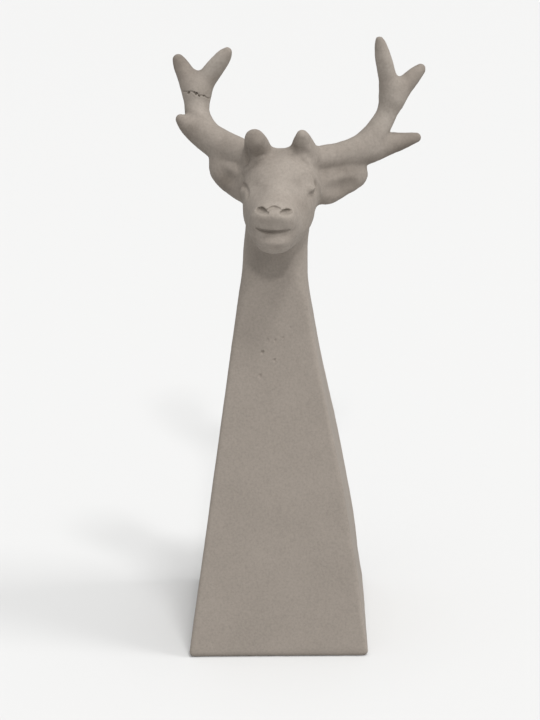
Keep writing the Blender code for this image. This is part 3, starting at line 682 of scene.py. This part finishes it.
def fine_skin():
    mesh = remeshed(rough_figure(), VOXEL * 1.06)
    draw_onto(mesh, shape, 8, 5)
    # the column below the neck is lofted in level rings, so that its edges run true
    bm = bmesh.new()
    bm.from_mesh(mesh)
    bmesh.ops.bisect_plane(bm, geom=bm.verts[:] + bm.edges[:] + bm.faces[:], dist=1e-4,
                           plane_co=(0, 0, JOIN_Z), plane_no=(0, 0, -1), clear_outer=True)
    lofted_column(bm, [0.0, 0.3, 0.7, 1.2, 1.8, 2.5] + [3.3 + 1.65 * i for i in range(102)], 36)
    bmesh.ops.recalc_face_normals(bm, faces=bm.faces)
    bm.to_mesh(mesh)
    bm.free()
    upper = lambda m: m[:, 2] > JOIN_Z + 3.0
    split_where(mesh, lambda m: m[:, 2] > 196.0)
    draw_onto(mesh, shape, 4, 2, 1.2, upper)
    face = lambda m: ((head_frame(m)[:, 1] < -24.0) & (m[:, 2] > 205.0) & (m[:, 2] < 234.0))
    split_where(mesh, face)
    draw_onto(mesh, shape, 8, 6, 0.5, face)
    split_where(mesh, near_cuts)
    draw_onto(mesh, shape, 14, 11, 0.3, near_cuts)
    spots = pinhole_spots()
    centres = np.array([s[0] for s in spots])

    def near_holes(m):
        out = np.zeros(len(m), bool)
        for c, (p, r, deep) in zip(centres, spots):
            out |= ((m - c) ** 2).sum(1) < (r * 1.6 + 1.2) ** 2
        return out
    split_where(mesh, near_holes)
    split_where(mesh, near_holes)
    seam = np.array([s[:3] for s in SEAM])

    def near_seam(m):
        away = ((m[:, None, :] - seam[None]) ** 2).sum(2).min(1)
        return away < 2.4 ** 2
    split_where(mesh, near_seam)
    split_where(mesh, near_seam)
    draw_onto(mesh, shape, 4, 0, 0.6, upper)

    v = coords(mesh)
    sole = v[:, 2] < 0.001
    nn = normals(shape, v)
    worn_and_shaded = wear_and_painted_shade(v, nn)
    v = v + (roughness_of_casting(v) - seam_depth(v))[:, None] * nn
    for p, r, deep in spots:
        away = np.sqrt(((v - p) ** 2).sum(1))
        t = np.clip(1.0 - (away / (r * 1.25)) ** 2, 0.0, 1.0)
        v = v - (deep * t ** 0.7)[:, None] * nn
    v[sole, 2] = 0.0
    put(mesh, v)
    # the factor, painted shade and painted light with wear and tone, goes into a colour attribute, a little warmer
    # where darker
    colours = np.ones((len(v), 4))
    colours[:, 0], colours[:, 1], colours[:, 2] = worn_and_shaded, worn_and_shaded ** 1.06, worn_and_shaded ** 1.12
    mesh.color_attributes.new("wear_and_painted_shade", 'FLOAT_COLOR', 'POINT').data.foreach_set("color", colours.ravel())

    bm = bmesh.new()
    bm.from_mesh(mesh)
    bmesh.ops.triangulate(bm, faces=[f for f in bm.faces if len(f.verts) > 4])
    bmesh.ops.recalc_face_normals(bm, faces=bm.faces)
    bm.to_mesh(mesh)
    bm.free()
    return mesh


mesh = fine_skin()
lo, hi = (np.array(c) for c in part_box(NODE))
put(mesh, np.clip(coords(mesh) * MM, lo, hi))
mesh.shade_smooth()
mesh.set_sharp_from_angle(angle=math.radians(50))
mesh.name = "reindeer_cast"
reindeer = bpy.data.objects.new("reindeer_cast", mesh)
bpy.context.scene.collection.objects.link(reindeer)
print("triangles", sum(len(p.vertices) - 2 for p in mesh.polygons))


# ---- cement ----
def cement():
    mat = bpy.data.materials.new("cast_cement")
    mat.use_nodes = True
    nt = mat.node_tree
    n, link = nt.nodes, nt.links.new
    shader = n["Principled BSDF"]
    shader.inputs["Metallic"].default_value = 0.0
    shader.inputs["Specular IOR Level"].default_value = 0.25
    at = n.new("ShaderNodeTexCoord").outputs["Object"]

    def tex(scale, detail=2.0, rough=0.5):
        t = n.new("ShaderNodeTexNoise")
        t.inputs["Scale"].default_value = scale
        t.inputs["Detail"].default_value = detail
        t.inputs["Roughness"].default_value = rough
        link(at, t.inputs["Vector"])
        return t.outputs["Fac"]

    def ramp_of(value, stops):
        r = n.new("ShaderNodeValToRGB")
        r.color_ramp.elements[0].position, r.color_ramp.elements[0].color = stops[0][0], stops[0][1]
        r.color_ramp.elements[1].position, r.color_ramp.elements[1].color = stops[-1][0], stops[-1][1]
        for pos, col in stops[1:-1]:
            r.color_ramp.elements.new(pos).color = col
        link(value, r.inputs["Fac"])
        return r.outputs["Color"]

    def mix(kind, fac, a, b):
        m = n.new("ShaderNodeMix")
        m.data_type, m.blend_type = 'RGBA', kind
        if isinstance(fac, float):
            m.inputs["Factor"].default_value = fac
        else:
            link(fac, m.inputs["Factor"])
        link(a, m.inputs["A"])
        link(b, m.inputs["B"])
        return m.outputs["Result"]

    # cloudy tone of the dried mix, then sand grains a little lighter and darker than the paste
    tone = ramp_of(tex(38.0, 4.0, 0.55), [(0.32, (0.252, 0.222, 0.192, 1)), (0.50, (0.263, 0.231, 0.200, 1)),
                                          (0.70, (0.274, 0.241, 0.209, 1))])
    grain = ramp_of(tex(900.0, 3.0, 0.6), [(0.30, (0.90, 0.90, 0.90, 1)), (0.50, (1.0, 1.0, 1.0, 1)),
                                           (0.72, (1.08, 1.08, 1.08, 1))])
    # reads the painted shade and painted light, with wear and tone, from the colour attribute
    worn_and_shaded = n.new("ShaderNodeAttribute")
    worn_and_shaded.attribute_name = "wear_and_painted_shade"
    colour = mix('MULTIPLY', 1.0, mix('MULTIPLY', 1.0, tone, grain), worn_and_shaded.outputs["Color"])
    link(colour, shader.inputs["Base Color"])

    rough = n.new("ShaderNodeMapRange")
    rough.inputs["To Min"].default_value, rough.inputs["To Max"].default_value = 0.84, 0.98
    link(tex(420.0, 2.0), rough.inputs["Value"])
    link(rough.outputs["Result"], shader.inputs["Roughness"])

    def bump(height, dist, strength, under=None):
        b = n.new("ShaderNodeBump")
        b.inputs["Distance"].default_value = dist
        b.inputs["Strength"].default_value = strength
        link(height, b.inputs["Height"])
        if under is not None:
            link(under, b.inputs["Normal"])
        return b.outputs["Normal"]

    coarse = bump(tex(520.0, 3.0, 0.6), 0.00025, 0.35)
    fine = bump(tex(1700.0, 2.0, 0.5), 0.00010, 0.35, coarse)
    link(fine, shader.inputs["Normal"])
    return mat


reindeer.data.materials.clear()
reindeer.data.materials.append(cement())
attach(reindeer, "root")
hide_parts(NODE)


# ---- floor, light, camera ----
floor_mesh = bpy.data.meshes.new("floor")
bm = bmesh.new()
bmesh.ops.create_grid(bm, x_segments=1, y_segments=1, size=12.0)
bm.to_mesh(floor_mesh)
bm.free()
floor = bpy.data.objects.new("floor", floor_mesh)
bpy.context.scene.collection.objects.link(floor)
paint = bpy.data.materials.new("pale_floor")
paint.use_nodes = True
paint.node_tree.nodes["Principled BSDF"].inputs["Base Color"].default_value = (0.60, 0.60, 0.596, 1)
paint.node_tree.nodes["Principled BSDF"].inputs["Roughness"].default_value = 0.9
floor_mesh.materials.append(paint)


def soft_light(name, azimuth, elevation, spread, strength):
    """Distant soft light; azimuth 0 is in front of the figure, positive towards +X."""
    a, e = math.radians(azimuth), math.radians(elevation)
    towards = Vector((math.sin(a) * math.cos(e), -math.cos(a) * math.cos(e), math.sin(e)))
    data = bpy.data.lights.new(name, 'SUN')
    data.angle, data.energy = math.radians(spread), strength * math.pi
    ob = bpy.data.objects.new(name, data)
    ob.location = towards * 2.0
    ob.rotation_mode = 'QUATERNION'
    ob.rotation_quaternion = towards.to_track_quat('Z', 'Y')
    bpy.context.scene.collection.objects.link(ob)


soft_light("overhead", 0.0, 88.0, 40.0, 0.26)
soft_light("high_side", 38.0, 68.0, 9.0, 0.38)
soft_light("side_fill", 80.0, 36.0, 20.0, 0.36)
soft_light("front", 8.0, 42.0, 6.0, 0.33)

world = bpy.data.worlds.new("studio")
world.use_nodes = True
world.node_tree.nodes["Background"].inputs["Color"].default_value = (1.0, 1.0, 1.0, 1)
world.node_tree.nodes["Background"].inputs["Strength"].default_value = 0.49
bpy.context.scene.world = world

view = bpy.context.scene.view_settings
view.view_transform, view.look, view.exposure, view.gamma = 'Standard', 'None', 0.0, 1.0

cam_data = bpy.data.cameras.new("camera")
cam_data.lens, cam_data.sensor_width, cam_data.sensor_fit = 80.0, 36.0, 'AUTO'
cam_data.clip_start, cam_data.clip_end = 0.05, 60.0
camera = bpy.data.objects.new("camera", cam_data)
TURN, DOWN, LEAN = math.radians(1.5673), math.radians(18.2308), math.radians(1.2143)
AIM, AWAY = Vector((-0.0024344, -0.0000666, 0.1415821)), 0.7968098
back = Vector((math.sin(TURN) * math.cos(DOWN), -math.cos(TURN) * math.cos(DOWN), math.sin(DOWN)))
right = Vector((math.cos(TURN), math.sin(TURN), 0.0))
up = back.cross(right)
across, above = math.cos(LEAN) * right - math.sin(LEAN) * up, math.sin(LEAN) * right + math.cos(LEAN) * up
basis = Matrix((across, above, back)).transposed()
camera.matrix_world = Matrix.Translation(AIM + AWAY * back) @ basis.to_4x4()
bpy.context.scene.collection.objects.link(camera)
bpy.context.scene.camera = camera
